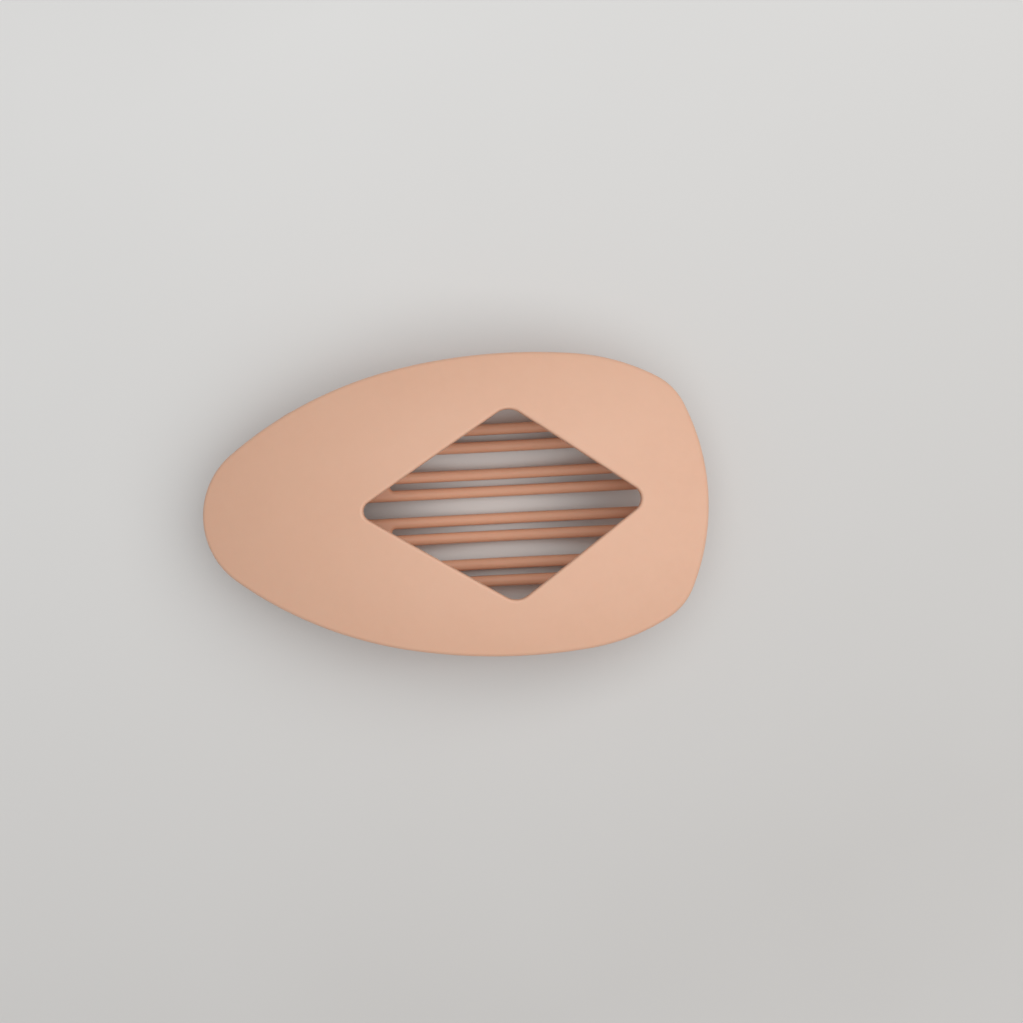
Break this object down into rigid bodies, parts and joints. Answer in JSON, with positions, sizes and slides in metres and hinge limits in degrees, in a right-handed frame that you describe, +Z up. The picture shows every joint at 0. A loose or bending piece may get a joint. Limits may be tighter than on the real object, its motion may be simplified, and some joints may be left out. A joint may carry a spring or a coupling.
{
  "type": "hair claw clip",
  "caption": "Flat egg-shaped spring hair claw with a diamond window in its upper shell and long paired comb fingers on its lower jaw.",
  "frame": {"origin": "bottom centre of the closed claw's box, on the surface it lies on", "axes": "+X from the thumb end to the mouth, +Y across the claw, +Z up through the window"},
  "size_m": [0.123, 0.0726, 0.0298],
  "materials": {
    "shell_plastic": "matte soft-touch peach plastic, moulded through in one colour",
    "jaw_plastic": "matte soft-touch peach plastic, the same mix as the shell",
    "pin_steel": "plain drawn steel pin with rounded ends",
    "spring_steel": "bright zinc-plated spring wire"
  },
  "bodies": {
    "lower": {"lower_jaw": "jaw_plastic", "torsion_spring": "spring_steel"},
    "upper": {"upper_shell": "shell_plastic", "hinge_pin": "pin_steel"}
  },
  "joints": [
    {"name": "mouth_hinge", "type": "hinge", "parent": "lower", "child": "upper", "pos_m": [-0.03, 0, 0.0165], "axis": [0, -1, 0], "range_deg": [0, 19], "stiffness_Nm_per_rad": 0.4, "springref_deg": -20.05, "deforming": ["torsion_spring"]}
  ]
}
